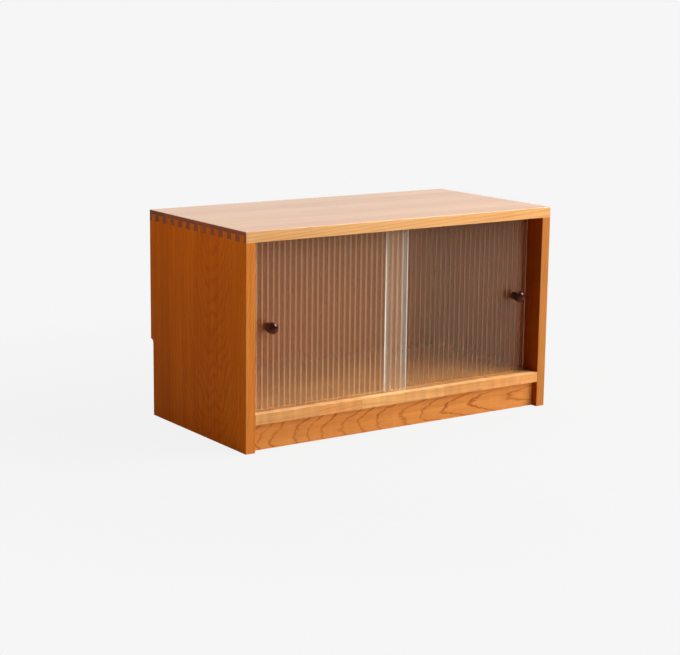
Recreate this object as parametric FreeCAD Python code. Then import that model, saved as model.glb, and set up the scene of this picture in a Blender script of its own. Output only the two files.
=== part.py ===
import FreeCAD, Part
import math
import os
from FreeCAD import Vector

# Low wooden cabinet module with two sliding reeded glass doors.
# Millimetres, +X to the right, +Y to the back, +Z up. The origin lies on the floor,
# in the middle of the whole depth, the front door's knob included.

# Carcase
carcase_width = 700.0
carcase_depth = 350.0
carcase_height = 400.0
top_thickness = 20.0
side_thickness = 20.0
bottom_thickness = 20.0
edge_round = 1.2

# Plinth
plinth_height = 50.0
plinth_recess = 15.0
plinth_thickness = 18.0
rail_thickness = 18.0
glue_block_leg = 22.0
glue_block_length = 60.0
glue_block_count = 3

# Half-blind dovetails: tails on the sides, pins and a lap on the top
tail_count = 12
lap_thickness = 8.0
pin_width_at_lap = 12.5
pin_width_at_underside = 17.0

# Back panel, held in grooves of the sides and top and screwed to the bottom
back_thickness = 6.0
back_setback = 14.0
back_groove_depth = 8.0
groove_fit_gap = 0.2
back_screw_count = 4
back_screw_diameter = 3.5
back_screw_length = 20.0
back_screw_head_diameter = 7.0
back_screw_head_height = 2.2
back_screw_end_margin = 60.0

# Clearance for a skirting board, at the lower back corner of each side
skirting_depth = 9.0
skirting_height = 150.0
skirting_corner_radius = 8.0

# Dowels
dowel_diameter = 8.0
dowel_depth_in_side = 12.0
dowel_depth_in_board = 24.0
dowel_fit_gap = 0.1
bottom_dowel_count = 3
bottom_dowel_margin = 62.0
board_dowel_count = 2
board_dowel_margin = 13.0

# Door grooves in the bottom and, deeper so that a door lifts in and out, in the top
front_groove_setback = 15.0
groove_pitch = 16.0
groove_width = 6.5
lower_groove_depth = 6.0
upper_groove_depth = 13.0
upper_engagement = 6.0
glide_thickness = 1.0
running_gap = 0.3

# Reeded glass doors
glass_thickness = 5.0
reed_height = 1.0
reed_count = 29
closed_overlap = 30.0
door_end_gap = 0.3
right_door_ajar = 10.0

# Turned knobs and what fastens them through the glass
knob_inset = 32.0
knob_length = 30.0
knob_head_diameter = 22.0
knob_base_diameter = 13.0
knob_head_steps = 6
washer_diameter = 13.0
washer_thickness = 1.0
bush_diameter = 7.0
screw_diameter = 4.0
screw_head_diameter = 8.0
screw_head_height = 2.6
screw_tip_gap = 1.5
insert_diameter = 7.0
insert_length = 12.0
hardware_fit_gap = 0.1

# One overrun serves every cut, and one tolerance finds edges by their place
overrun = 1.0
match_tolerance = 0.01

# Levels and planes that the pieces share
opening_floor = plinth_height + bottom_thickness
opening_ceiling = carcase_height - top_thickness
tail_top = carcase_height - lap_thickness
outer_side = carcase_width / 2
inner_side = outer_side - side_thickness

glass_play = (groove_width - glass_thickness) / 2
knob_overhang = knob_length + washer_thickness - front_groove_setback - glass_play
carcase_front = (knob_overhang - carcase_depth) / 2
carcase_back = carcase_front + carcase_depth
back_panel_rear = carcase_back - back_setback
back_panel_front = back_panel_rear - back_thickness
plinth_front = carcase_front + plinth_recess
plinth_rear = plinth_front + plinth_thickness

front_groove = carcase_front + front_groove_setback
rear_groove = front_groove + groove_pitch
door_bottom = opening_floor - lower_groove_depth + glide_thickness + running_gap
door_top = opening_ceiling + upper_engagement
door_width = inner_side - door_end_gap + closed_overlap / 2
left_door_edge = door_end_gap - inner_side
right_door_edge = inner_side - door_end_gap - right_door_ajar
knob_level = (opening_floor + opening_ceiling) / 2

along_x = Vector(1, 0, 0)
along_y = Vector(0, 1, 0)
along_z = Vector(0, 0, 1)


# Helpers

def block(x_range, y_range, z_range):
    corner = Vector(x_range[0], y_range[0], z_range[0])
    size = [high - low for low, high in (x_range, y_range, z_range)]
    return Part.makeBox(*size, corner)


def rod(diameter, length, start, axis):
    return Part.makeCylinder(diameter / 2, length, start, axis)


def prism(points, sweep):
    outline = Part.makePolygon(points + points[:1])
    return Part.Face(outline).extrude(sweep)


def spread(low, high, count):
    step = (high - low) / (count - 1)
    return [low + step * index for index in range(count)]


def mirrored(shape):
    return shape.mirror(Vector(0, 0, 0), along_x)


def edges_at(shape, x=None, y=None, z=None):
    """The edges that lie wholly at the places given."""
    found = []
    for edge in shape.Edges:
        box = edge.BoundBox
        spans = ((x, box.XMin, box.XMax), (y, box.YMin, box.YMax), (z, box.ZMin, box.ZMax))
        wanted = [span for span in spans if span[0] is not None]
        off = [abs(end - place) for place, low, high in wanted for end in (low, high)]
        if max(off) < match_tolerance:
            found.append(edge)
    return found


# Half-blind dovetails

def left_tails():
    """The trapezoid tails that stand on the left side, wider towards the lap."""
    pitch = carcase_depth / tail_count
    low_half = (pitch - pin_width_at_underside) / 2
    high_half = (pitch - pin_width_at_lap) / 2
    tails = []
    for index in range(tail_count):
        middle = carcase_front + pitch * (index + 0.5)
        outline = [
            Vector(-outer_side, middle - low_half, opening_ceiling),
            Vector(-outer_side, middle + low_half, opening_ceiling),
            Vector(-outer_side, middle + high_half, tail_top),
            Vector(-outer_side, middle - high_half, tail_top),
        ]
        tails.append(prism(outline, along_x * side_thickness))
    return tails


# Grooves and holes shared by the boards

def door_grooves(z_range):
    span = (-inner_side, inner_side)
    return [block(span, (start, start + groove_width), z_range) for start in (front_groove, rear_groove)]


def back_groove(x_range, z_range):
    y_range = (back_panel_front - groove_fit_gap, back_panel_rear + groove_fit_gap)
    return block(x_range, y_range, z_range)


def bottom_dowel_places():
    level = plinth_height + bottom_thickness / 2
    first_row = carcase_front + bottom_dowel_margin
    last_row = back_panel_front - bottom_dowel_margin
    rows = spread(first_row, last_row, bottom_dowel_count)
    return [(row, level) for row in rows]


def board_dowel_places(middle):
    levels = spread(board_dowel_margin, plinth_height - board_dowel_margin, board_dowel_count)
    return [(middle, level) for level in levels]


def plinth_dowel_places():
    return board_dowel_places((plinth_front + plinth_rear) / 2)


def rail_dowel_places():
    return board_dowel_places(back_panel_front - rail_thickness / 2)


def left_dowel_hole(place):
    """One hole across the joint between the left side and a board."""
    diameter = dowel_diameter + 2 * dowel_fit_gap
    depth_in_side = dowel_depth_in_side + dowel_fit_gap
    depth = depth_in_side + dowel_depth_in_board + dowel_fit_gap
    return rod(diameter, depth, Vector(-inner_side - depth_in_side, *place), along_x)


def left_dowel(place):
    length = dowel_depth_in_side + dowel_depth_in_board
    return rod(dowel_diameter, length, Vector(-inner_side - dowel_depth_in_side, *place), along_x)


def dowels(places):
    left = [left_dowel(place) for place in places]
    return Part.makeCompound(left + [mirrored(dowel) for dowel in left])


def with_dowel_holes(board, places):
    left = [left_dowel_hole(place) for place in places]
    return board.cut(left + [mirrored(hole) for hole in left])


# Carcase boards

def top_panel():
    depth = (carcase_front, carcase_back)
    board = block((-outer_side, outer_side), depth, (opening_ceiling, carcase_height))
    arrises = edges_at(board, z=carcase_height)
    arrises += edges_at(board, x=-outer_side, y=carcase_front)
    arrises += edges_at(board, x=outer_side, y=carcase_front)
    board = board.makeFillet(edge_round, arrises)
    sockets = left_tails()
    sockets += [mirrored(socket) for socket in sockets]
    back_reach = inner_side + back_groove_depth
    cuts = door_grooves((opening_ceiling - overrun, opening_ceiling + upper_groove_depth))
    back_levels = (opening_ceiling - overrun, opening_ceiling + back_groove_depth)
    cuts.append(back_groove((-back_reach, back_reach), back_levels))
    return board.cut(sockets + cuts)


def skirting_notch():
    """The corner that is cut away from a side, with a rounded inner corner."""
    face = carcase_back - skirting_depth
    x_range = (-outer_side - overrun, -inner_side + overrun)
    notch = block(x_range, (face, carcase_back + overrun), (-overrun, skirting_height))
    inner_corner = edges_at(notch, y=face, z=skirting_height)
    return notch.makeFillet(skirting_corner_radius, inner_corner)


def left_side_panel():
    board = block((-outer_side, -inner_side), (carcase_front, carcase_back), (0, opening_ceiling))
    arrises = edges_at(board, x=-outer_side, y=carcase_front)
    arrises += edges_at(board, x=-inner_side, y=carcase_front)
    board = board.makeFillet(edge_round, arrises)
    places = bottom_dowel_places() + plinth_dowel_places() + rail_dowel_places()
    cuts = [left_dowel_hole(place) for place in places]
    groove_x = (-inner_side - back_groove_depth, -inner_side + overrun)
    cuts.append(back_groove(groove_x, (plinth_height, opening_ceiling + back_groove_depth)))
    cuts.append(skirting_notch())
    board = board.fuse(left_tails()).removeSplitter()
    return board.cut(cuts)


def bottom_panel():
    depth = (carcase_front, back_panel_front)
    board = block((-inner_side, inner_side), depth, (plinth_height, opening_floor))
    arrises = edges_at(board, y=carcase_front, z=opening_floor)
    arrises += edges_at(board, y=carcase_front, z=plinth_height)
    board = board.makeFillet(edge_round, arrises)
    board = with_dowel_holes(board, bottom_dowel_places())
    cuts = door_grooves((opening_floor - lower_groove_depth, opening_floor + overrun))
    return board.cut(cuts + back_screw_holes())


def front_plinth():
    board = block((-inner_side, inner_side), (plinth_front, plinth_rear), (0, plinth_height))
    return with_dowel_holes(board, plinth_dowel_places())


def rear_rail():
    depth = (back_panel_front - rail_thickness, back_panel_front)
    board = block((-inner_side, inner_side), depth, (0, plinth_height))
    return with_dowel_holes(board, rail_dowel_places())


def plinth_glue_blocks():
    """Triangular blocks in the corner between the plinth and the bottom."""
    reach = inner_side - glue_block_length
    blocks = []
    for middle in spread(-reach, reach, glue_block_count):
        start = middle - glue_block_length / 2
        outline = [
            Vector(start, plinth_rear, plinth_height),
            Vector(start, plinth_rear + glue_block_leg, plinth_height),
            Vector(start, plinth_rear, plinth_height - glue_block_leg),
        ]
        blocks.append(prism(outline, along_x * glue_block_length))
    return Part.makeCompound(blocks)


# Back panel and its screws

def back_panel():
    reach = inner_side + back_groove_depth - groove_fit_gap
    z_range = (plinth_height, opening_ceiling + back_groove_depth - groove_fit_gap)
    board = block((-reach, reach), (back_panel_front, back_panel_rear), z_range)
    return board.cut(back_screw_holes())


def back_screw_seats():
    """Where the screws' heads meet the back panel, in line with the edge of the bottom."""
    reach = inner_side - back_screw_end_margin
    level = plinth_height + bottom_thickness / 2
    return [Vector(x, back_panel_rear, level) for x in spread(-reach, reach, back_screw_count)]


def back_screw_holes():
    diameter = back_screw_diameter + 2 * hardware_fit_gap
    depth = back_screw_length + hardware_fit_gap
    return [rod(diameter, depth, seat, -along_y) for seat in back_screw_seats()]


def pan_head_screw(seat, diameter, length, head_diameter, head_height):
    """A screw whose shank runs to the front from its seat, with the head behind it."""
    shank = rod(diameter, length, seat, -along_y)
    return shank.fuse(rod(head_diameter, head_height, seat, along_y))


def back_screw(seat):
    sizes = (back_screw_diameter, back_screw_length, back_screw_head_diameter, back_screw_head_height)
    return pan_head_screw(seat, *sizes)


def back_panel_screws():
    return Part.makeCompound([back_screw(seat) for seat in back_screw_seats()])


# Doors

def glide_strip(groove):
    y_range = (groove + groove_fit_gap, groove + groove_width - groove_fit_gap)
    low = opening_floor - lower_groove_depth
    return block((-inner_side, inner_side), y_range, (low, low + glide_thickness))


def reeded_glass(left_edge, groove, knob_x):
    """A pane that is flat in front and has a row of convex reeds behind."""
    front = groove + glass_play
    valley = front + glass_thickness - reed_height
    crest = front + glass_thickness
    right_edge = left_edge + door_width
    pitch = door_width / reed_count
    corners = [
        Vector(left_edge, valley, door_bottom),
        Vector(left_edge, front, door_bottom),
        Vector(right_edge, front, door_bottom),
        Vector(right_edge, valley, door_bottom),
    ]
    edges = [Part.LineSegment(a, b).toShape() for a, b in zip(corners, corners[1:])]
    for index in range(reed_count):
        start = right_edge - pitch * index
        middle = Vector(start - pitch / 2, crest, door_bottom)
        ends = [Vector(x, valley, door_bottom) for x in (start, start - pitch)]
        edges.append(Part.Arc(ends[0], middle, ends[1]).toShape())
    pane = Part.Face(Part.Wire(edges)).extrude(along_z * (door_top - door_bottom))
    hole_diameter = bush_diameter + 2 * hardware_fit_gap
    hole_start = Vector(knob_x, front - overrun, knob_level)
    return pane.cut(rod(hole_diameter, glass_thickness + 2 * overrun, hole_start, along_y))


def knob_seat(groove):
    """The plane where a knob's base meets its washer."""
    return groove + glass_play - washer_thickness


def knob_profile():
    """Radius and distance from the glass: a neck that widens into a round head.

    The head is turned in short straight steps, which keep its mesh light.
    """
    head = knob_head_diameter / 2
    head_middle = knob_length - head
    profile = [(0, 0), (knob_base_diameter / 2, 0)]
    for step in range(knob_head_steps):
        angle = math.pi / 2 * step / knob_head_steps
        profile.append((head * math.cos(angle), head_middle + head * math.sin(angle)))
    return profile + [(0, knob_length)]


def turned_knob(groove, knob_x):
    """A knob with a hole in its base for the insert."""
    seat = knob_seat(groove)
    base = Vector(knob_x, seat, knob_level)
    points = [base + along_x * radius - along_y * distance for radius, distance in knob_profile()]
    full_turn = math.degrees(2 * math.pi)
    knob = Part.Face(Part.makePolygon(points + points[:1])).revolve(base, along_y, full_turn)
    hole_diameter = insert_diameter + 2 * hardware_fit_gap
    return knob.cut(rod(hole_diameter, insert_length, base, -along_y))


def ring(outer_diameter, length, start):
    """A sleeve or washer round a knob's screw, running to the back."""
    bore = rod(screw_diameter + 2 * hardware_fit_gap, length, start, along_y)
    return rod(outer_diameter, length, start, along_y).cut(bore)


def knob_screw(groove, knob_x):
    """A pan head screw that comes from inside the cabinet into the knob's insert."""
    under_head = groove + glass_play + glass_thickness + washer_thickness
    tip = knob_seat(groove) - insert_length + screw_tip_gap
    seat = Vector(knob_x, under_head, knob_level)
    return pan_head_screw(seat, screw_diameter, under_head - tip, screw_head_diameter, screw_head_height)


def door_pieces(name, left_edge, groove, knob_x):
    front = groove + glass_play
    seat = knob_seat(groove)
    back = front + glass_thickness
    sleeve_length = glass_thickness - reed_height

    def on_axis(y):
        return Vector(knob_x, y, knob_level)

    return {
        name + "_door_glass": reeded_glass(left_edge, groove, knob_x),
        name + "_knob": turned_knob(groove, knob_x),
        name + "_knob_insert": ring(insert_diameter, insert_length, on_axis(seat - insert_length)),
        name + "_knob_front_washer": ring(washer_diameter, washer_thickness, on_axis(seat)),
        name + "_knob_bush": ring(bush_diameter, sleeve_length, on_axis(front)),
        name + "_knob_rear_washer": ring(washer_diameter, washer_thickness, on_axis(back)),
        name + "_knob_screw": knob_screw(groove, knob_x),
    }


# The whole cabinet

def cabinet_pieces():
    left_side = left_side_panel()
    return {
        "top_panel": top_panel(),
        "left_side_panel": left_side,
        "right_side_panel": mirrored(left_side),
        "bottom_panel": bottom_panel(),
        "front_plinth": front_plinth(),
        "rear_rail": rear_rail(),
        "plinth_glue_blocks": plinth_glue_blocks(),
        "back_panel": back_panel(),
        "back_panel_screws": back_panel_screws(),
        "bottom_dowels": dowels(bottom_dowel_places()),
        "plinth_dowels": dowels(plinth_dowel_places()),
        "rail_dowels": dowels(rail_dowel_places()),
        "front_glide_strip": glide_strip(front_groove),
        "rear_glide_strip": glide_strip(rear_groove),
    }


def main():
    os.makedirs("parts", exist_ok=True)
    left_knob_x = left_door_edge + knob_inset
    right_knob_x = right_door_edge - knob_inset
    pieces = cabinet_pieces()
    pieces.update(door_pieces("left", left_door_edge, front_groove, left_knob_x))
    pieces.update(door_pieces("right", right_door_edge - door_width, rear_groove, right_knob_x))
    for node, shape in pieces.items():
        shape.exportStep(os.path.join("parts", node + ".step"))
        print(node, len(shape.Solids), "solids", shape.isValid(), round(shape.Volume))


main()
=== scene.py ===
import math
import bmesh
import bpy
from mathutils import Matrix, Vector


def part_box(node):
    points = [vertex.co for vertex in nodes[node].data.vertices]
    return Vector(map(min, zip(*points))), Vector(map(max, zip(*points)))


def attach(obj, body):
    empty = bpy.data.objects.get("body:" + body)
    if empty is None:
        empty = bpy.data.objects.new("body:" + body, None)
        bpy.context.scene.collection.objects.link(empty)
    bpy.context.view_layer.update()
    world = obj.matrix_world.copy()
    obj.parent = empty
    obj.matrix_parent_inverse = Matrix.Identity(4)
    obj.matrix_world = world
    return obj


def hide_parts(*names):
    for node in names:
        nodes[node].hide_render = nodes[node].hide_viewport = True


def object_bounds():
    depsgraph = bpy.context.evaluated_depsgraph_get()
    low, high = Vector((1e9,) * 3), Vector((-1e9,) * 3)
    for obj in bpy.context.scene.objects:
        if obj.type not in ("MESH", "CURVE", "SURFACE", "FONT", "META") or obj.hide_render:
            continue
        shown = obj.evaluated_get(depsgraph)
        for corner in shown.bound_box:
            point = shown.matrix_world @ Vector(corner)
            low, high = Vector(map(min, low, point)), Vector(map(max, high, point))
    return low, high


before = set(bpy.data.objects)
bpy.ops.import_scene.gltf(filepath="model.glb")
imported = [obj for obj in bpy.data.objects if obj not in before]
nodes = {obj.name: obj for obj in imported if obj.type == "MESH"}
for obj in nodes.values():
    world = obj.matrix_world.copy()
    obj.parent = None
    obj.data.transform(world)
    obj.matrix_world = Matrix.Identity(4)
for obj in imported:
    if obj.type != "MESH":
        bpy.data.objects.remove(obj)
cad_box = [list(corner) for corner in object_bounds()]
mm = 0.001

# Photograph and camera, fitted to the carcase's corners
image_width_px = 680
focal_length_px = 1717.3
sensor_width = 36.0
camera_azimuth = -34.68
camera_elevation = 11.31
camera_roll = 0.70
camera_from_carcase = Vector((-1.8948, -2.6974, 0.8239))

# Cherry wood, as linear colours, and tints that multiply them
cherry_light = (0.80, 0.37, 0.118)
cherry_deep = (0.66, 0.255, 0.066)
cherry_line = (0.24, 0.055, 0.011)
cherry_bold_line = (0.36, 0.062, 0.010)
cherry_end_light = (0.33, 0.066, 0.014)
cherry_end_dark = (0.19, 0.032, 0.007)
end_shades = (0.75, 1.15)
redder_stave = (1.05, 0.62, 0.40)
yellower_stave = (1.0, 1.30, 1.35)
# Painted light: the paler tint on a strip of a board's upper face, in front of the doors' glass
painted_light_tint = (1.30, 1.75, 2.50)
untinted = (1.0, 1.0, 1.0)

# Lengths of the wood's marks along and across the grain
fibre_size = (60 * mm, 1.1 * mm)
streak_size = (420 * mm, 9 * mm)
blotch_size = (160 * mm, 60 * mm)
fleck_size = (13 * mm, 0.7 * mm)
fade_size = (190 * mm, 34 * mm)
curl_size = (17 * mm, 160 * mm)
end_pore_size = 0.8 * mm
wood_relief = 0.25 * mm

# Levels of noise between which a mark comes up, and how strong the marks are
middle_noise = (0.3, 0.7)
most_noise = (0.2, 0.8)
pore_noise = (0.48, 0.78)
fleck_noise = (0.69, 0.78)
fade_noise = (0.3, 0.6)
fade_shares = (0.45, 1.0)
blotch_share = 0.25
fleck_share = 0.40
end_line_share = 0.4
end_pore_share = 0.6
growth_power = 1.7
line_relief_share = -0.3
wood_bump = 0.10
roughness_spread = 0.12

# Cosines between which a face turns from not facing a way to facing it
facing_cosines = (0.75, 0.95)
sideways_cosines = (0.6, 0.9)

# Staves: random numbers for each, and how far the marks of one are shifted along it
chance_names = ("pith", "slope", "depth", "shade")
block_seed = 7.3
block_number_step = 17.0
mark_shift_ratio = 40

# Growth rings: their spacing, how they wander, and where the pith lies under the board's middle
ring_patch = 2.7
ring_unevenness = 1.5
usual_rings = {
    "pith_depth": 70 * mm,
    "depth_spread": 60 * mm,
    "pith_across": 0.0,
    "pith_spread": 500 * mm,
    "slope": 0.0,
    "slope_spread": 0.16,
    "bend": 0.0,
    "lean": 0.0,
}
one_pith = {**usual_rings, "depth_spread": 0.0, "pith_spread": 0.0, "slope_spread": 0.0}
straight_rings = {**usual_rings, "spacing": 4 * mm, "wander": 5 * mm, "wander_size": (500 * mm, 60 * mm)}
plain_rings = {**usual_rings, "spacing": 6 * mm, "wander": 9 * mm, "wander_size": (260 * mm, 60 * mm)}
flamed_rings = {
    **one_pith,
    "spacing": 6 * mm,
    "wander": 10 * mm,
    "wander_size": (90 * mm, 24 * mm),
    "pith_across": -7 * mm,
    "slope": -0.12,
    "bend": 0.12,
    "lean": 0.025,
}
arched_rings = {
    **one_pith,
    "spacing": 4.5 * mm,
    "wander": 18 * mm,
    "wander_size": (120 * mm, 45 * mm),
    "pith_depth": 150 * mm,
    "pith_across": -55 * mm,
    "slope": -0.15,
}

# The usual board, then what each board changes in it. Low and high are the ways its wide faces look; on
# some boards these tints are painted shade, a painted sheen or painted light
usual_wood = {
    "block_length": 0.0,
    "painted_light_up_to": None,
    "edge_tint": untinted,
    "low_tint": untinted,
    "high_tint": untinted,
    "line_tone": cherry_line,
    "line_share": 0.25,
    "line_width_share": 0.22,
    "growth_share": 0.25,
    "streak_share": 0.55,
    "pore_share": 0.20,
    "curl_share": 0.0,
    "stave_contrast": 0.22,
    "gloss": 0.06,
    "roughness": 0.42,
}
level_board = {**usual_wood, "grain": "X", "width": "Y", "stave_count": 6, "rings": straight_rings}
plinth_board = {**usual_wood, "grain": "X", "width": "Z", "stave_count": 1, "rings": straight_rings}
side_board = {
    **usual_wood,
    "grain": "Z",
    "width": "Y",
    "stave_count": 4,
    "rings": arched_rings,
    "line_share": 0.20,
    "streak_share": 0.8,
    "pore_share": 0.35,
    "stave_contrast": 0.28,
    "gloss": 0.03,
}
board_looks = {
    "top_panel": {
        **level_board,
        "seed": 11.0,
        "edge_tint": (1.18, 1.48, 1.85),
        # The upper face's tint is a painted sheen: paler and whiter, for the light and the room's gloss on
        # the top
        "high_tint": (0.80, 0.95, 1.40),
        "stave_contrast": 0.12,
        "gloss": 0.85,
        "roughness": 0.25,
    },
    "left_side_panel": {
        **side_board,
        "seed": 5.0,
        "edge_tint": (0.93, 0.66, 0.39),
        # The outer face's tint is painted shade: darker and more saturated, for the shade on this side
        "low_tint": (0.86, 0.41, 0.042),
        "high_tint": (1.0, 0.84, 0.62),
    },
    "right_side_panel": {
        **side_board,
        "seed": 29.0,
        "edge_tint": (0.75, 0.68, 0.58),
        # The inner face's tint is painted shade, for the shade inside the cabinet
        "low_tint": (0.45, 0.18, 0.037),
        "high_tint": (0.72, 0.60, 0.46),
    },
    "bottom_panel": {
        **level_board,
        "seed": 31.0,
        "block_length": 96 * mm,
        # The upper face's tint is painted shade inside the cabinet, and its strip in front of the glass is
        # painted paler as painted light
        "painted_light_up_to": "left_door_glass",
        "edge_tint": (1.08, 1.20, 1.40),
        "high_tint": (0.77, 0.82, 0.94),
        "line_share": 0.13,
        "curl_share": 0.16,
        "stave_contrast": 0.13,
    },
    "front_plinth": {
        **plinth_board,
        "seed": 47.0,
        "rings": flamed_rings,
        "low_tint": (0.99, 0.88, 0.71),
        "line_tone": cherry_bold_line,
        "line_share": 0.75,
        "line_width_share": 0.13,
        "growth_share": 0.09,
        "pore_share": 0.32,
        "curl_share": 0.06,
    },
    "rear_rail": {
        **plinth_board,
        "seed": 53.0,
    },
    "back_panel": {
        **usual_wood,
        "grain": "Z",
        "width": "X",
        "stave_count": 4,
        "rings": plain_rings,
        "seed": 59.0,
        # The inner face's tint is painted shade, for the shade inside the cabinet
        "low_tint": (0.50, 0.28, 0.15),
    },
}

# Pale wood of the dowels and glue blocks
hardwood_light = (0.62, 0.40, 0.22)
hardwood_deep = (0.47, 0.28, 0.14)
hardwood_fleck = (0.27, 0.14, 0.06)
hardwood_fleck_noise = (0.62, 0.72)
hardwood_fleck_share = 0.5
hardwood_roughness = (0.5, 0.65)
hardwood_bump = 0.2

# Dark wood of the knobs
knob_dark = (0.040, 0.0055, 0.0018)
knob_brown = (0.075, 0.0115, 0.0035)
knob_grain_noise = (0.35, 0.75)
knob_roughness = (0.06, 0.10)
knob_bump = 0.05

# Metals and plastics, as a bright and a dull tone
steel_tones = ((0.60, 0.60, 0.61), (0.45, 0.45, 0.46))
steel_roughness = 0.28
brass_tones = ((0.72, 0.52, 0.22), (0.58, 0.40, 0.15))
brass_roughness = 0.3
nylon_tones = ((0.19, 0.072, 0.034), (0.15, 0.056, 0.027))
nylon_roughness = 0.4
glide_tones = ((0.14, 0.075, 0.035), (0.10, 0.05, 0.024))
glide_roughness = 0.35
scratch_size = (2.5 * mm, 16 * mm, 0.4 * mm)
scratch_roughness = 0.15
mottle_size = (7 * mm, 1.1 * mm, 1.1 * mm)
mottle_roughness = 0.12

# Reeded panes. Pairs are for the left and the right end of a pane
reed_count = 29
reed_height = 0.5 * mm
reed_segments = 14
reed_middle_share = 0.5
pane_arris = 0.5 * mm
ground_edge = 1.6 * mm
# Painted glow: how far a pale glow painted beside a pane's end reaches
painted_glow_reach = 34 * mm
# Painted highlight lines: their width in the valleys, and their strength on the crests
valley_share = 0.11
crest_highlight_share = 0.45
# Painted haze: a warm tone over a pane, for light inside the cabinet behind it
painted_haze_tone = (1.0, 0.34, 0.11)
end_tone = (0.80, 0.92, 0.92)
end_tone_share = 0.06
# Per pane: the strength and tone of the painted highlight lines, of a painted warm haze and of a painted
# glow beside the ends
pane_looks = {
    "left": {
        "painted_haze_share": 0.0,
        "line_share": 0.50,
        "line_tone": (1.0, 0.65, 0.37),
        "ground_shares": (0.0, 0.06),
        "painted_glow_shares": (0.0, 0.04),
    },
    "right": {
        "painted_haze_share": 0.012,
        "line_share": 0.20,
        "line_tone": (0.94, 0.58, 0.35),
        "ground_shares": (1.0, 0.12),
        "painted_glow_shares": (0.045, 0.0),
    },
}
hole_clearance = 0.1 * mm
glass_ior = 1.5
glass_shadow = (0.85, 0.85, 0.84)
glass_roughness = (0.08, 0.12)
glass_tint = (0.93, 0.965, 0.945)
drawn_size = (30 * mm, 30 * mm, 300 * mm)

# Turned knobs and screws
knob_base_radius = 7.6 * mm
knob_arris = 0.5 * mm
knob_sides = 72
neck_steps = 12
ball_steps = 22
screw_sides = 40
dome_steps = 6
dome_share = 0.65
rim_share = 0.9
recess_depth_share = 0.6
recess_length_share = 1.15
recess_width_share = 0.26
screws_apart = 20 * mm

# Faces that meet at more than this angle keep a crisp edge
crisp_angle = math.radians(14.0)

# Stage and light
backdrop_white = (0.922, 0.922, 0.922)
floor_reach = 12.0
floor_fade = (0.55, 1.3)
floor_glow_share = 0.93
floor_paper = (0.65, 0.65, 0.65)
floor_mirrored = (0.42, 0.35, 0.26)
ambient_colour = (1.0, 0.97, 0.94)
ambient_left = 0.08
ambient_right = 0.36
ambient_turn = (-0.8, 0.8)
behind_turn = (0.1, 0.7)
mirrored_room_share = 0.12
lamps = {
    "key": {
        "place": (1.5, -2.4, 1.35),
        "size": (1.6, 1.6),
        "power": 40.0,
        "colour": (1.0, 0.97, 0.93),
        "mirrored": False,
    },
    "top": {"place": (0.2, 0.9, 2.6), "size": (2.0, 1.2), "power": 13.0},
    "left": {"place": (-0.85, 0.0, 0.95), "size": (0.5, 0.5), "power": 2.45, "mirrored": False},
    "right": {"place": (1.6, -0.8, 2.05), "size": (1.4, 1.4), "power": 60.0},
}


# Helpers

def cad_box_of(name):
    return [Vector(corner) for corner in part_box(name)]


def new_material(name):
    material = bpy.data.materials.new(name)
    material.use_nodes = True
    material.node_tree.nodes.clear()
    return material, material.node_tree


def feed(tree, socket, value):
    """Links a socket to a node's output, or sets its own value."""
    if isinstance(value, bpy.types.NodeSocket):
        tree.links.new(value, socket)
    elif socket.type == "RGBA" and len(value) == 3:
        socket.default_value = (*value, 1)
    else:
        socket.default_value = value


def node(tree, kind, inputs=None, **settings):
    made = tree.nodes.new(kind)
    for name, value in settings.items():
        setattr(made, name, value)
    for name, value in (inputs or {}).items():
        feed(tree, made.inputs[name], value)
    return made


def calc(tree, operation, *values, clamp=False):
    inputs = dict(enumerate(values))
    return node(tree, "ShaderNodeMath", inputs, operation=operation, use_clamp=clamp).outputs[0]


def blend(tree, factor, first, second, mode="MIX"):
    """A colour between first and second."""
    made = node(tree, "ShaderNodeMix", data_type="RGBA", blend_type=mode)
    feed(tree, made.inputs[0], factor)
    feed(tree, made.inputs[6], first)
    feed(tree, made.inputs[7], second)
    return made.outputs[2]


def tinted(tree, colour, tint):
    return blend(tree, 1.0, colour, tint, "MULTIPLY")


def scaled(tree, colour, shade):
    """A colour made lighter or darker by a number."""
    grey = node(tree, "ShaderNodeCombineColor", {0: shade, 1: shade, 2: shade}).outputs[0]
    return tinted(tree, colour, grey)


def remap(tree, value, low, high, new_low=0.0, new_high=1.0):
    """A smooth step from new_low to new_high while the value goes from low to high."""
    inputs = {"Value": value, "From Min": low, "From Max": high, "To Min": new_low, "To Max": new_high}
    return node(tree, "ShaderNodeMapRange", inputs, clamp=True, interpolation_type="SMOOTHSTEP").outputs[0]


def between(tree, share, low, high):
    return calc(tree, "MULTIPLY_ADD", share, high - low, low)


def spread_about(tree, share, middle, spread):
    """A value between half a spread below the middle and half a spread above it."""
    return between(tree, share, middle - spread / 2, middle + spread / 2)


def place_axes(tree, output="Object"):
    """The three axes of a texture coordinate."""
    place = node(tree, "ShaderNodeTexCoord").outputs[output]
    return node(tree, "ShaderNodeSeparateXYZ", {0: place}).outputs


def noise(tree, axes, sizes, seed, detail=2.0, roughness=0.5):
    """Noise whose features have their own size along each of the three axes."""
    parts = [calc(tree, "DIVIDE", axis, size) for axis, size in zip(axes, sizes)]
    place = node(tree, "ShaderNodeCombineXYZ", dict(enumerate(parts))).outputs[0]
    inputs = {"Vector": place, "W": seed, "Scale": 1.0, "Detail": detail, "Roughness": roughness}
    return node(tree, "ShaderNodeTexNoise", inputs, noise_dimensions="4D").outputs[0]


def grain_noise(tree, axes, size, seed, detail=2.0, roughness=0.5):
    """Noise stretched along the grain: size is its length and its width."""
    length, width = size
    return noise(tree, axes, (length, width, width), seed, detail, roughness)


def random_of(tree, value, seed):
    shifted = calc(tree, "ADD", value, seed)
    return node(tree, "ShaderNodeTexWhiteNoise", {"W": shifted}, noise_dimensions="1D").outputs[0]


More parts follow.
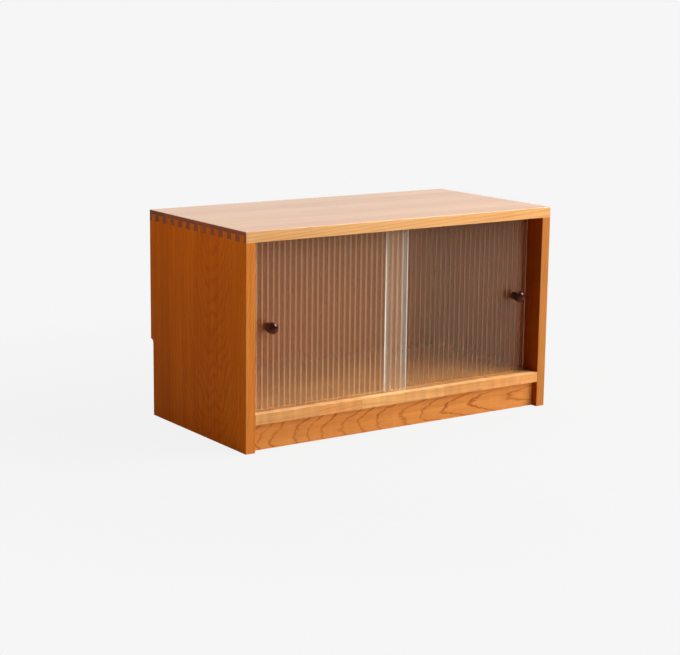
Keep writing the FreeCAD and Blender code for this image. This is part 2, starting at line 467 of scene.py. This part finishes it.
def mixed(tree, share, first, second):
    """A shader between first and second."""
    return node(tree, "ShaderNodeMixShader", {0: share, 1: first, 2: second}).outputs[0]


def surface(tree, shader):
    output = node(tree, "ShaderNodeOutputMaterial")
    tree.links.new(shader, output.inputs["Surface"])


def principled(tree, inputs):
    return node(tree, "ShaderNodeBsdfPrincipled", inputs).outputs[0]


def grain_bump(tree, height, strength):
    inputs = {"Height": height, "Strength": strength, "Distance": wood_relief}
    return node(tree, "ShaderNodeBump", inputs).outputs[0]


# Wood

def board_axes(tree, grain, width, output="Object", middle=(0.0, 0.0, 0.0)):
    """Coordinates along the grain, across the board's width and through it, from its middle."""
    axes = place_axes(tree, output)
    thick = next(letter for letter in "XYZ" if letter not in (grain, width))
    places = dict(zip("XYZ", middle))
    return [calc(tree, "SUBTRACT", axes[letter], places[letter]) for letter in (grain, width, thick)]


def facing_shares(tree, grain, width):
    """How far a face shows end grain, and how far it is the board's lower or its upper wide face."""
    along, _, through = board_axes(tree, grain, width, "Normal")
    turned = (calc(tree, "ABSOLUTE", along), calc(tree, "MULTIPLY", through, -1.0), through)
    return [remap(tree, share, *facing_cosines) for share in turned]


def stave_chances(tree, along, from_edge, stave_width, look):
    """Random numbers, one set for each stave, or each block of one, that the board is glued up from."""
    seed, block_length = look["seed"], look["block_length"]
    stave = calc(tree, "FLOOR", calc(tree, "DIVIDE", from_edge, stave_width))
    if block_length:
        shift = calc(tree, "MULTIPLY", random_of(tree, stave, seed + block_seed), block_length)
        block = calc(tree, "FLOOR", calc(tree, "DIVIDE", calc(tree, "ADD", along, shift), block_length))
        stave = calc(tree, "MULTIPLY_ADD", block, block_number_step, stave)
    return {name: random_of(tree, stave, seed + index) for index, name in enumerate(chance_names)}


def ring_phase(tree, axes, chances, seed, rings):
    """Where a point lies between two growth rings about the stave's pith, from zero to one."""
    along, across, through = axes
    pith = spread_about(tree, chances["pith"], rings["pith_across"], rings["pith_spread"])
    side = calc(tree, "SUBTRACT", across, calc(tree, "MULTIPLY_ADD", along, rings["lean"], pith))
    slope = spread_about(tree, chances["slope"], rings["slope"], rings["slope_spread"])
    low = spread_about(tree, chances["depth"], rings["pith_depth"], rings["depth_spread"])
    slope = calc(tree, "MULTIPLY_ADD", along, rings["bend"], slope)
    depth = calc(tree, "ADD", calc(tree, "MULTIPLY_ADD", along, slope, low), through)
    flat = node(tree, "ShaderNodeCombineXYZ", {0: side, 1: depth}).outputs[0]
    distance = node(tree, "ShaderNodeVectorMath", {0: flat}, operation="LENGTH").outputs["Value"]
    slow = grain_noise(tree, (along, side, depth), rings["wander_size"], seed, detail=4.0, roughness=0.6)
    distance = calc(tree, "MULTIPLY_ADD", slow, rings["wander"], distance)
    count = calc(tree, "DIVIDE", distance, rings["spacing"])
    in_stave = (count, chances["depth"], chances["shade"])
    uneven = noise(tree, in_stave, (ring_patch, 1.0, 1.0), seed, detail=1.0)
    return calc(tree, "FRACT", calc(tree, "MULTIPLY_ADD", uneven, ring_unevenness, count))


def grain_marks(tree, axes, shifted, chances, look):
    """Growth rings, late wood, fibres, slow streaks, blotches, curl and the gum flecks of cherry."""
    seed, line_width = look["seed"], look["line_width_share"]
    phase = ring_phase(tree, axes, chances, seed, look["rings"])
    off_line = calc(tree, "ABSOLUTE", calc(tree, "SUBTRACT", phase, 1.0 - line_width))
    fleck = grain_noise(tree, shifted, fleck_size, seed + 3, detail=1.0)
    fade = grain_noise(tree, shifted, fade_size, seed + 4)
    return {
        "growth": calc(tree, "POWER", phase, growth_power),
        "late_wood": remap(tree, off_line, 0.0, line_width, 1.0, 0.0),
        "fibre": grain_noise(tree, shifted, fibre_size, seed, detail=3.0, roughness=0.65),
        "streak": grain_noise(tree, shifted, streak_size, seed + 1, detail=4.0, roughness=0.65),
        "blotch": grain_noise(tree, shifted, blotch_size, seed + 2),
        "fleck": remap(tree, fleck, *fleck_noise),
        "fade": remap(tree, fade, *fade_noise, *fade_shares),
        "curl": grain_noise(tree, axes, curl_size, seed + 5, detail=1.0),
    }


def long_grain(tree, marks, look):
    """The colour along the grain: pale to deep wood, then pores, flecks and the lines of late wood."""
    deep = calc(tree, "MULTIPLY", marks["growth"], look["growth_share"])
    streaks = remap(tree, marks["streak"], *middle_noise)
    deep = calc(tree, "MULTIPLY_ADD", streaks, look["streak_share"], deep)
    blotches = remap(tree, marks["blotch"], *middle_noise)
    deep = calc(tree, "MULTIPLY_ADD", blotches, blotch_share, deep)
    colour = blend(tree, deep, cherry_light, cherry_deep)
    pores = calc(tree, "MULTIPLY", remap(tree, marks["fibre"], *pore_noise), look["pore_share"])
    colour = blend(tree, pores, colour, cherry_line)
    colour = blend(tree, calc(tree, "MULTIPLY", marks["fleck"], fleck_share), colour, cherry_line)
    lines = calc(tree, "MULTIPLY", marks["late_wood"], marks["fade"])
    return blend(tree, calc(tree, "MULTIPLY", lines, look["line_share"]), colour, look["line_tone"])


def stave_colour(tree, colour, curl, chances, look):
    """The colour with the shade and hue of each stave, and with curl that ripples across the grain."""
    contrast = look["stave_contrast"]
    shade = spread_about(tree, chances["shade"], 1.0, contrast)
    ripple = spread_about(tree, remap(tree, curl, *middle_noise), 1.0, look["curl_share"])
    colour = scaled(tree, colour, calc(tree, "MULTIPLY", shade, ripple))
    hue = blend(tree, chances["slope"], redder_stave, yellower_stave)
    return blend(tree, contrast, colour, tinted(tree, colour, hue))


def face_tint(tree, lower, upper, painted_light_strip, look):
    """Wide faces and edges each have their own tint, on some boards painted shade or a painted sheen, and
    a strip of the upper face is painted paler as painted light.
    """
    high_tint = blend(tree, painted_light_strip, look["high_tint"], painted_light_tint)
    return blend(tree, upper, blend(tree, lower, look["edge_tint"], look["low_tint"]), high_tint)


def end_grain(tree, axes, late_wood, chances, seed):
    """The colour of end grain, which drinks more oil, so it is dark."""
    pores = noise(tree, axes, (end_pore_size,) * 3, seed)
    dark = calc(tree, "MULTIPLY", pores, end_pore_share)
    dark = calc(tree, "MULTIPLY_ADD", late_wood, end_line_share, dark)
    colour = blend(tree, dark, cherry_end_light, cherry_end_dark)
    return scaled(tree, colour, between(tree, chances["depth"], *end_shades))


def wood(board, look):
    """Solid cherry glued up from staves, each with growth rings about a pith of its own."""
    material, tree = new_material("cherry_" + board)
    low, high = cad_box_of(board)
    grain, width = look["grain"], look["width"]
    axes = board_axes(tree, grain, width, middle=(low + high) / 2)
    along, across, through = axes
    board_width = (high - low)["XYZ".index(width)]
    stave_width = board_width / look["stave_count"]
    from_edge = calc(tree, "ADD", across, board_width / 2)
    chances = stave_chances(tree, along, from_edge, stave_width, look)
    shifted_along = calc(tree, "MULTIPLY_ADD", chances["shade"], stave_width * mark_shift_ratio, along)
    marks = grain_marks(tree, axes, (shifted_along, across, through), chances, look)
    colour = stave_colour(tree, long_grain(tree, marks, look), marks["curl"], chances, look)

    cut, lower, upper = facing_shares(tree, grain, width)
    # Painted light: the strip of the upper face up to the front of the named node is tinted paler
    covered = look["painted_light_up_to"]
    strip = cad_box_of(covered)[0].y - low.y if covered else 0.0
    painted_light_strip = calc(tree, "LESS_THAN", from_edge, strip)
    colour = tinted(tree, colour, face_tint(tree, lower, upper, painted_light_strip, look))
    colour = blend(tree, cut, colour, end_grain(tree, axes, marks["late_wood"], chances, look["seed"]))

    relief = calc(tree, "MULTIPLY_ADD", marks["late_wood"], line_relief_share, marks["fibre"])
    shader = principled(tree, {
        "Base Color": colour,
        "Roughness": spread_about(tree, marks["streak"], look["roughness"], roughness_spread),
        "Normal": grain_bump(tree, relief, wood_bump),
        "Specular IOR Level": look["gloss"],
    })
    surface(tree, shader)
    return material


def plain_hardwood():
    """Pale dowel wood, with fine straight grain and small flecks."""
    material, tree = new_material("plain_hardwood")
    axes = board_axes(tree, "X", "Z")
    fibre = grain_noise(tree, axes, fibre_size, seed=4.0, detail=3.0)
    fleck = remap(tree, grain_noise(tree, axes, fleck_size, seed=9.0), *hardwood_fleck_noise)
    colour = blend(tree, fibre, hardwood_light, hardwood_deep)
    colour = blend(tree, calc(tree, "MULTIPLY", fleck, hardwood_fleck_share), colour, hardwood_fleck)
    rough = remap(tree, fibre, *most_noise, *hardwood_roughness)
    bump = grain_bump(tree, fibre, hardwood_bump)
    surface(tree, principled(tree, {"Base Color": colour, "Roughness": rough, "Normal": bump}))
    return material


def dark_turned_wood():
    """Almost black, polished wood with a hint of brown grain."""
    material, tree = new_material("dark_turned_wood")
    axes = board_axes(tree, "Y", "X")
    fibre = grain_noise(tree, axes, fibre_size, seed=2.0, detail=3.0)
    colour = blend(tree, remap(tree, fibre, *knob_grain_noise), knob_dark, knob_brown)
    rough = remap(tree, fibre, *most_noise, *knob_roughness)
    bump = grain_bump(tree, fibre, knob_bump)
    surface(tree, principled(tree, {"Base Color": colour, "Roughness": rough, "Normal": bump}))
    return material


# Other materials

def clear_glass(tree, axes):
    """Slightly green glass, a little uneven where it was drawn."""
    drawn = noise(tree, [axes[letter] for letter in "XYZ"], drawn_size, seed=5.0)
    return principled(tree, {
        "Base Color": glass_tint,
        "Roughness": remap(tree, drawn, *middle_noise, *glass_roughness),
        "IOR": glass_ior,
        "Transmission Weight": 1.0,
    })


def painted_reed_highlights(tree, from_left, pitch):
    """Painted highlights: fine pale lines in the valleys between the reeds, and fainter ones on their
    crests.
    """
    reed = calc(tree, "FRACT", calc(tree, "DIVIDE", from_left, pitch))
    off_middle = calc(tree, "ABSOLUTE", calc(tree, "SUBTRACT", reed, reed_middle_share))
    valley = remap(tree, off_middle, reed_middle_share - valley_share, reed_middle_share)
    crest = remap(tree, off_middle, 0.0, valley_share, crest_highlight_share, 0.0)
    return calc(tree, "MAXIMUM", valley, crest)


def pane_ends(tree, from_ends, look):
    """The ground ends of a pane, and beside them a painted glow: pale light painted where the panes
    overlap.
    """
    ends = 0.0
    for from_end, ground, glow in zip(from_ends, look["ground_shares"], look["painted_glow_shares"]):
        ground_share = remap(tree, from_end, 0.0, ground_edge, ground, 0.0)
        # Painted glow: pale light painted beside the end
        painted_glow_share = remap(tree, from_end, 0.0, painted_glow_reach, glow, 0.0)
        ends = calc(tree, "MAXIMUM", calc(tree, "MAXIMUM", ground_share, painted_glow_share), ends)
    return ends


def reeded_glass(name, left, right, look):
    """Clear glass with painted highlight lines along its reeds, a painted haze and a painted glow, and
    pale ground ends.
    """
    material, tree = new_material(name)
    axes = place_axes(tree)
    from_left = calc(tree, "SUBTRACT", axes["X"], left)
    from_right = calc(tree, "SUBTRACT", right, axes["X"])
    line = painted_reed_highlights(tree, from_left, (right - left) / reed_count)
    ends = pane_ends(tree, (from_left, from_right), look)
    colour = blend(tree, line, painted_haze_tone, look["line_tone"])
    colour = blend(tree, remap(tree, ends, 0.0, end_tone_share), colour, end_tone)
    # The painted highlights, haze and glow, like the ground ends, are a matt or lit-through shader mixed
    # into the glass
    matt = node(tree, "ShaderNodeBsdfDiffuse", {"Color": colour}).outputs[0]
    lit_through = node(tree, "ShaderNodeBsdfTranslucent", {"Color": colour}).outputs[0]
    sideways = remap(tree, calc(tree, "ABSOLUTE", place_axes(tree, "Normal")["X"]), *sideways_cosines)
    # A painted warm haze is added to the painted highlight lines
    lines = calc(tree, "MULTIPLY_ADD", line, look["line_share"], look["painted_haze_share"])
    painted_light_and_ground = calc(tree, "ADD", lines, ends, clamp=True)
    pane = mixed(tree, painted_light_and_ground, clear_glass(tree, axes), mixed(tree, sideways, matt, lit_through))
    open_pane = node(tree, "ShaderNodeBsdfTransparent", {"Color": glass_shadow}).outputs[0]
    lamp_ray = node(tree, "ShaderNodeLightPath").outputs["Is Shadow Ray"]
    surface(tree, mixed(tree, lamp_ray, pane, open_pane))
    return material


def metal(name, tones, roughness):
    material, tree = new_material(name)
    axes = place_axes(tree)
    scratch = noise(tree, [axes[letter] for letter in "XYZ"], scratch_size, seed=1.0)
    rough = remap(tree, scratch, *most_noise, roughness, roughness + scratch_roughness)
    colour = blend(tree, scratch, *tones)
    surface(tree, principled(tree, {"Base Color": colour, "Metallic": 1.0, "Roughness": rough}))
    return material


def plastic(name, tones, roughness):
    material, tree = new_material(name)
    axes = place_axes(tree)
    mottle = noise(tree, [axes[letter] for letter in "XYZ"], mottle_size, seed=6.0, detail=3.0)
    rough = remap(tree, mottle, *most_noise, roughness, roughness + mottle_roughness)
    colour = blend(tree, mottle, *tones)
    surface(tree, principled(tree, {"Base Color": colour, "Roughness": rough}))
    return material


# Meshes

def mesh_object(name, bm):
    bmesh.ops.recalc_face_normals(bm, faces=bm.faces)
    mesh = bpy.data.meshes.new(name)
    bm.to_mesh(mesh)
    bm.free()
    made = bpy.data.objects.new(name, mesh)
    bpy.context.scene.collection.objects.link(made)
    return made


def cut_away(piece, cutters):
    """Cuts other objects out of a piece for good, and removes them."""
    for cutter in cutters:
        modifier = piece.modifiers.new("cut", "BOOLEAN")
        modifier.operation = "DIFFERENCE"
        modifier.object = cutter
    ready = piece.evaluated_get(bpy.context.evaluated_depsgraph_get())
    piece.data = bpy.data.meshes.new_from_object(ready)
    piece.modifiers.clear()
    for cutter in cutters:
        bpy.data.objects.remove(cutter)


def finish_piece(piece, material, body, replaced):
    """Smooth faces with crisp edges, a material, and the body and CAD nodes that a piece stands for."""
    bm = bmesh.new()
    bm.from_mesh(piece.data)
    for face in bm.faces:
        face.smooth = True
    for edge in bm.edges:
        edge.smooth = edge.is_manifold and edge.calc_face_angle() < crisp_angle
    bm.to_mesh(piece.data)
    bm.free()
    piece.data.materials.clear()
    piece.data.materials.append(material)
    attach(piece, body)
    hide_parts(*replaced)


def bridge(bm, near, far):
    """Faces between two rings of points."""
    count = len(near)
    for index in range(count):
        after = (index + 1) % count
        bm.faces.new((near[index], near[after], far[after], far[index]))


def lathe(bm, centre, profile, sides):
    """Turns a profile of radius and distance to the front, about an axis along Y."""
    rings = []
    for radius, distance in profile:
        ring = []
        for index in range(sides):
            turn = 2 * math.pi * index / sides
            place = centre + Vector((radius * math.cos(turn), -distance, radius * math.sin(turn)))
            ring.append(bm.verts.new(place))
        rings.append(ring)
    for near, far in zip(rings, rings[1:]):
        bridge(bm, near, far)
    bm.faces.new(rings[0])
    bm.faces.new(rings[-1])


def pane_outline(low, high):
    """The pane's section from above: flat in front with ground arrises, reeds behind."""
    left, right = low.x, high.x
    front, crest = low.y, high.y
    pitch = (right - left) / reed_count
    radius = (pitch ** 2 / 4 + reed_height ** 2) / (2 * reed_height)
    centre = crest - radius
    outline = [
        (left, front + pane_arris),
        (left + pane_arris, front),
        (right - pane_arris, front),
        (right, front + pane_arris),
    ]
    for reed in range(reed_count):
        middle = right - pitch * (reed + reed_middle_share)
        for step in range(reed_segments):
            offset = pitch * (reed_middle_share - step / reed_segments)
            outline.append((middle + offset, centre + math.sqrt(radius ** 2 - offset ** 2)))
    outline.append((left, crest - reed_height))
    return outline


def bush_hole(side, depth):
    """A cutter for the hole that a knob's bush goes through."""
    low, high = cad_box_of(side + "_knob_bush")
    radius = (high.x - low.x) / 2 + hole_clearance
    bm = bmesh.new()
    lathe(bm, (low + high) / 2, [(radius, -depth), (radius, depth)], screw_sides)
    return mesh_object("hole", bm)


def reeded_pane(side, material):
    cad_name = side + "_door_glass"
    low, high = cad_box_of(cad_name)
    bm = bmesh.new()
    outline = pane_outline(low, high)
    below, above = [[bm.verts.new((x, y, z)) for x, y in outline] for z in (low.z, high.z)]
    bridge(bm, below, above)
    bm.faces.new(reversed(below))
    bm.faces.new(above)
    piece = mesh_object(side + "_reeded_pane", bm)
    cut_away(piece, [bush_hole(side, high.y - low.y)])
    finish_piece(piece, material, side + "_door", [cad_name])


def knob_profile(head, length):
    """Radius and distance from the glass: a neck that flares into a round head."""
    centre = length - head
    reach = math.hypot(knob_base_radius, centre)
    start = math.acos(head / reach) - math.atan2(centre, knob_base_radius)
    touch_radius = head * math.cos(start)
    touch_distance = centre + head * math.sin(start)
    profile = [(knob_base_radius - knob_arris, 0.0)]
    for step in range(neck_steps):
        share = step / neck_steps
        radius = knob_base_radius + (touch_radius - knob_base_radius) * share
        profile.append((radius, knob_arris + (touch_distance - knob_arris) * share))
    for step in range(ball_steps):
        angle = start + (math.pi / 2 - start) * step / ball_steps
        profile.append((head * math.cos(angle), centre + head * math.sin(angle)))
    return profile


def turned_knob(side, material):
    """The knob without its inner hole, which the insert and screw fill."""
    cad_name = side + "_knob"
    low, high = cad_box_of(cad_name)
    middle = (low + high) / 2
    seat = Vector((middle.x, high.y, middle.z))
    bm = bmesh.new()
    lathe(bm, seat, knob_profile((high.x - low.x) / 2, high.y - low.y), knob_sides)
    piece = mesh_object(side + "_turned_knob", bm)
    finish_piece(piece, material, side + "_door", [cad_name])


def screw_axes(points):
    """The place of each screw of a node along X, found from the gaps between their points."""
    across = sorted(point.x for point in points)
    groups = [[across[0]]]
    for place in across[1:]:
        if place - groups[-1][-1] > screws_apart:
            groups.append([])
        groups[-1].append(place)
    return [(group[0] + group[-1]) / 2 for group in groups]


def screw_profile(points, axis, low, high):
    """Where a screw's head starts, its height and radius, and the turned profile with a domed head."""
    reaches = [(math.hypot(point.x - axis.x, point.z - axis.z), point.y) for point in points]
    head = (high.z - low.z) / 2
    under_head = min(y for reach, y in reaches if reach > head * rim_share)
    shank = max(reach for reach, y in reaches if y < (under_head + low.y) / 2)
    height = high.y - under_head
    profile = [(shank, under_head - low.y), (shank, 0.0), (head, 0.0)]
    for step in range(dome_steps):
        angle = math.pi / 2 * step / dome_steps
        rise = 1.0 - dome_share + dome_share * math.sin(angle)
        profile.append((head * math.cos(angle), -height * rise))
    return under_head, height, head, profile


def recess_blade(places, size):
    """A block at each place, to cut one slot of the cross recesses."""
    bm = bmesh.new()
    for place in places:
        bmesh.ops.create_cube(bm, matrix=Matrix.Translation(place) @ Matrix.Diagonal((*size, 1.0)))
    return mesh_object("blade", bm)


def cross_head_screws(cad_name, body, material):
    """The screws of a node, heads to the back, with a domed head and a cross recess."""
    source = nodes[cad_name]
    points = [source.matrix_world @ vertex.co for vertex in source.data.vertices]
    low, high = cad_box_of(cad_name)
    middle = (low + high) / 2
    axes = [Vector((x, middle.y, middle.z)) for x in screw_axes(points)]
    near = [point for point in points if abs(point.x - axes[0].x) < screws_apart]
    under_head, height, head, profile = screw_profile(near, axes[0], low, high)
    bm = bmesh.new()
    for axis in axes:
        lathe(bm, Vector((axis.x, under_head, axis.z)), profile, screw_sides)
    piece = mesh_object(cad_name + "_cross_head", bm)
    length = head * recess_length_share
    width = head * recess_width_share
    depth = height * recess_depth_share * 2
    tops = [Vector((axis.x, high.y, axis.z)) for axis in axes]
    blades = [recess_blade(tops, size) for size in ((length, depth, width), (width, depth, length))]
    cut_away(piece, blades)
    finish_piece(piece, material, body, [cad_name])


# Materials on the carcase

def dress(name, material):
    slots = nodes[name].data.materials
    slots.clear()
    slots.append(material)


def dress_carcase():
    for board, look in board_looks.items():
        dress(board, wood(board, look))
    pale = plain_hardwood()
    for name in ("plinth_glue_blocks", "bottom_dowels", "plinth_dowels", "rail_dowels"):
        dress(name, pale)
    glide = plastic("glide_plastic", glide_tones, glide_roughness)
    for name in ("front_glide_strip", "rear_glide_strip"):
        dress(name, glide)


def dress_hardware():
    steel = metal("steel", steel_tones, steel_roughness)
    brass = metal("brass", brass_tones, brass_roughness)
    nylon = plastic("nylon", nylon_tones, nylon_roughness)
    cross_head_screws("back_panel_screws", "cabinet", steel)
    for side in ("left", "right"):
        cross_head_screws(side + "_knob_screw", side + "_door", steel)
        dress(side + "_knob_insert", brass)
        for ring in ("_knob_front_washer", "_knob_bush", "_knob_rear_washer"):
            dress(side + ring, nylon)


def make_doors():
    dark = dark_turned_wood()
    for side in ("left", "right"):
        low, high = cad_box_of(side + "_door_glass")
        reeded_pane(side, reeded_glass(side + "_reeded_glass", low.x, high.x, pane_looks[side]))
        turned_knob(side, dark)


# Stage, light and camera

def seen_shares(tree):
    """Whether the camera sees a place straight, and whether it is seen in gloss or through glass."""
    path = node(tree, "ShaderNodeLightPath").outputs
    mirrored = calc(tree, "MAXIMUM", path["Is Glossy Ray"], path["Is Transmission Ray"])
    return path["Is Camera Ray"], mirrored


def set_world():
    """Soft ambient light, with a white backdrop for the camera and, behind the cabinet, for gloss."""
    world = bpy.data.worlds.new("studio")
    bpy.context.scene.world = world
    world.use_nodes = True
    tree = world.node_tree
    tree.nodes.clear()
    straight, mirrored = seen_shares(tree)
    direction = place_axes(tree, "Generated")
    behind = remap(tree, direction["Y"], *behind_turn)
    shown = calc(tree, "MAXIMUM", straight, calc(tree, "MULTIPLY", mirrored, behind))
    level = remap(tree, direction["X"], *ambient_turn, ambient_left, ambient_right)
    level = calc(tree, "MULTIPLY", level, between(tree, mirrored, 1.0, mirrored_room_share))
    soft = node(tree, "ShaderNodeBackground", {"Color": ambient_colour, "Strength": level}).outputs[0]
    white = node(tree, "ShaderNodeBackground", {"Color": backdrop_white, "Strength": 1.0}).outputs[0]
    output = node(tree, "ShaderNodeOutputWorld")
    tree.links.new(mixed(tree, shown, soft, white), output.inputs["Surface"])


def pale_floor():
    """Paper that keeps the cabinet's shadow and fades into the white backdrop away from it."""
    material, tree = new_material("pale_floor")
    straight, mirrored = seen_shares(tree)
    place = node(tree, "ShaderNodeTexCoord").outputs["Object"]
    away = node(tree, "ShaderNodeVectorMath", {0: place}, operation="LENGTH").outputs["Value"]
    far = calc(tree, "MULTIPLY", remap(tree, away, *floor_fade), straight)
    colour = blend(tree, mirrored, floor_paper, floor_mirrored)
    paper = node(tree, "ShaderNodeBsdfDiffuse", {"Color": colour}).outputs[0]
    glow = node(tree, "ShaderNodeEmission", {"Color": backdrop_white, "Strength": 1.0}).outputs[0]
    paper = mixed(tree, calc(tree, "MULTIPLY", straight, floor_glow_share), paper, glow)
    clear = node(tree, "ShaderNodeBsdfTransparent").outputs[0]
    surface(tree, mixed(tree, far, paper, clear))
    return material


def make_floor():
    bm = bmesh.new()
    bmesh.ops.create_grid(bm, x_segments=1, y_segments=1, size=floor_reach)
    floor = mesh_object("floor", bm)
    floor.data.materials.append(pale_floor())


def area_light(name, target, place, size, power, colour=(1.0, 1.0, 1.0), mirrored=True):
    data = bpy.data.lights.new(name, "AREA")
    data.shape = "RECTANGLE"
    data.size, data.size_y = size
    data.energy = power
    data.color = colour
    lamp = bpy.data.objects.new(name, data)
    lamp.location = place
    lamp.visible_glossy = mirrored
    lamp.rotation_euler = (Vector(place) - target).to_track_quat("Z", "Y").to_euler()
    bpy.context.scene.collection.objects.link(lamp)


def set_lights():
    low, high = (Vector(corner) for corner in cad_box)
    for name, lamp in lamps.items():
        area_light(name, (low + high) / 2, **lamp)


def set_camera():
    low, high = cad_box_of("left_side_panel")
    carcase_centre = Vector((0.0, (low.y + high.y) / 2, 0.0))
    azimuth = math.radians(camera_azimuth)
    elevation = math.radians(camera_elevation)
    roll = math.radians(camera_roll)
    back = Vector((
        math.sin(azimuth) * math.cos(elevation),
        -math.cos(azimuth) * math.cos(elevation),
        math.sin(elevation),
    ))
    level = Vector((math.cos(azimuth), math.sin(azimuth), 0.0))
    upright = back.cross(level)
    right = level * math.cos(roll) + upright * math.sin(roll)
    up = upright * math.cos(roll) - level * math.sin(roll)
    data = bpy.data.cameras.new("camera")
    data.sensor_width = sensor_width
    data.lens = focal_length_px / image_width_px * sensor_width
    camera = bpy.data.objects.new("camera", data)
    turn = Matrix((right, up, back)).transposed().to_4x4()
    camera.matrix_world = Matrix.Translation(carcase_centre + camera_from_carcase) @ turn
    bpy.context.scene.collection.objects.link(camera)
    bpy.context.scene.camera = camera


# The whole scene

def main():
    dress_carcase()
    dress_hardware()
    make_doors()
    make_floor()
    set_world()
    set_lights()
    set_camera()
    bpy.context.scene.view_settings.view_transform = "Standard"


main()
